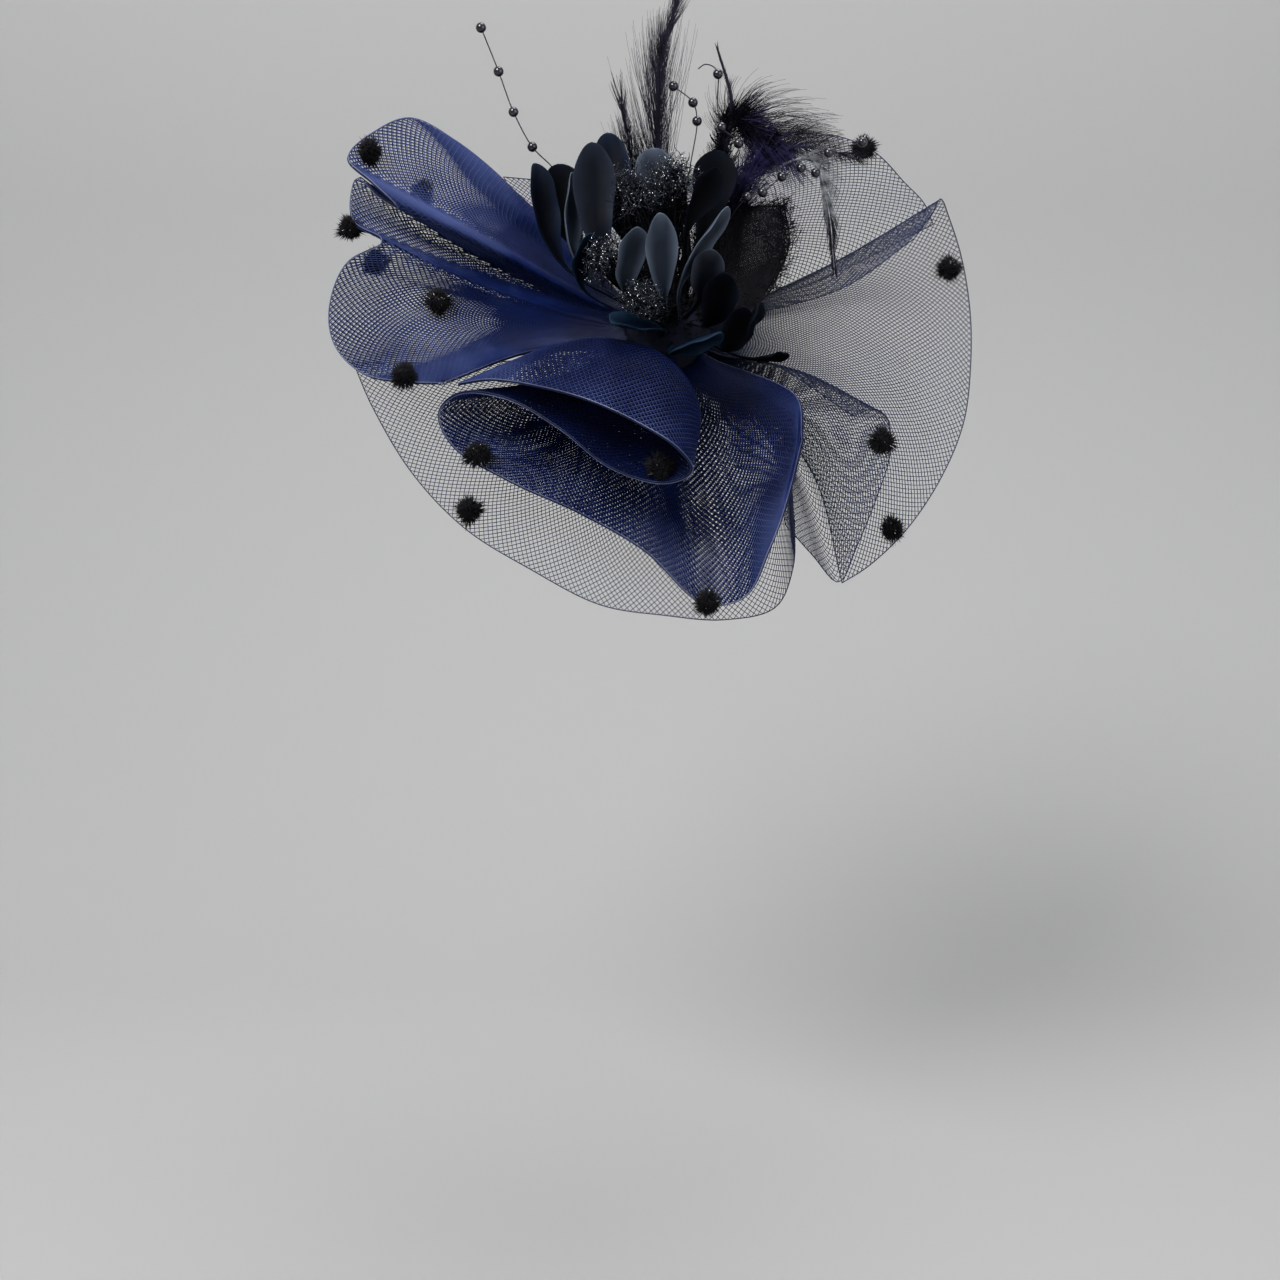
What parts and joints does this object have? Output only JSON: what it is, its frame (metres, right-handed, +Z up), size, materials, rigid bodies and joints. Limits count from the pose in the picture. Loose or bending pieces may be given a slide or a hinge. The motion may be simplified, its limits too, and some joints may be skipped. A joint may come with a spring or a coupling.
{
  "type": "fascinator",
  "caption": "Dress fascinator: a wide crinoline net ruffle with chenille dots round a flower, beaded wires and feathers, on a small base with a hair clip.",
  "frame": {"origin": "the middle of the underside of the base disc, where it sits on the head: mount head_seat", "axes": "+Z up as worn; -Y towards the front of the wearer; +X towards the viewer's right"},
  "size_m": [0.3056, 0.1985, 0.2958],
  "materials": {
    "net": "open crinoline net, slight sheen",
    "chenille": "fluffy pile",
    "petal": "stiffened matt satin",
    "glitter": "tinsel and glitter",
    "lace": "fine lace",
    "bead": "glossy gunmetal",
    "feather": "soft barbs",
    "felt": "felt",
    "clip": "dark enamel"
  },
  "bodies": {
    "root": {"base_disc": "felt", "hair_clip": "clip", "flower_core": "felt", "crin_front_roll": "net", "crin_brim": "net", "crin_flap": "net", "crin_fan": "net", "crin_back": "net", "crin_left_loop": "net", "dot_loop_tip": "chenille", "dot_loop_edge": "chenille", "dot_left_middle": "chenille", "dot_left_low": "chenille", "dot_left_under": "chenille", "dot_loop_under": "chenille", "dot_roll_left": "chenille", "dot_roll_lip": "chenille", "dot_roll_hem": "chenille", "dot_brim": "chenille", "dot_flap": "chenille", "dot_fan_low": "chenille", "dot_fan_high": "chenille", "dot_back": "chenille", "feather_tall": "feather", "feather_stripped": "feather", "feather_fan": "feather", "feather_marabou": "feather", "feather_hackle": "feather", "feather_tuft": "feather", "beads_left": "bead", "beads_middle": "bead", "beads_tall": "bead", "beads_right": "bead", "petal_1": "petal", "petal_2": "petal", "petal_3": "petal", "petal_4": "petal", "petal_5": "petal", "petal_6": "petal", "petal_7": "petal", "petal_8": "petal", "petal_9": "petal", "petal_10": "petal", "petal_11": "petal", "petal_12": "petal", "petal_13": "petal", "petal_14": "petal", "petal_15": "petal", "petal_16": "petal", "petal_17": "petal", "petal_18": "petal", "petal_19": "petal", "stamens_upper": "glitter", "stamens_ridge": "glitter", "stamens_left": "glitter", "stamens_front": "glitter", "lace_right": "lace"}
  },
  "joints": []
}
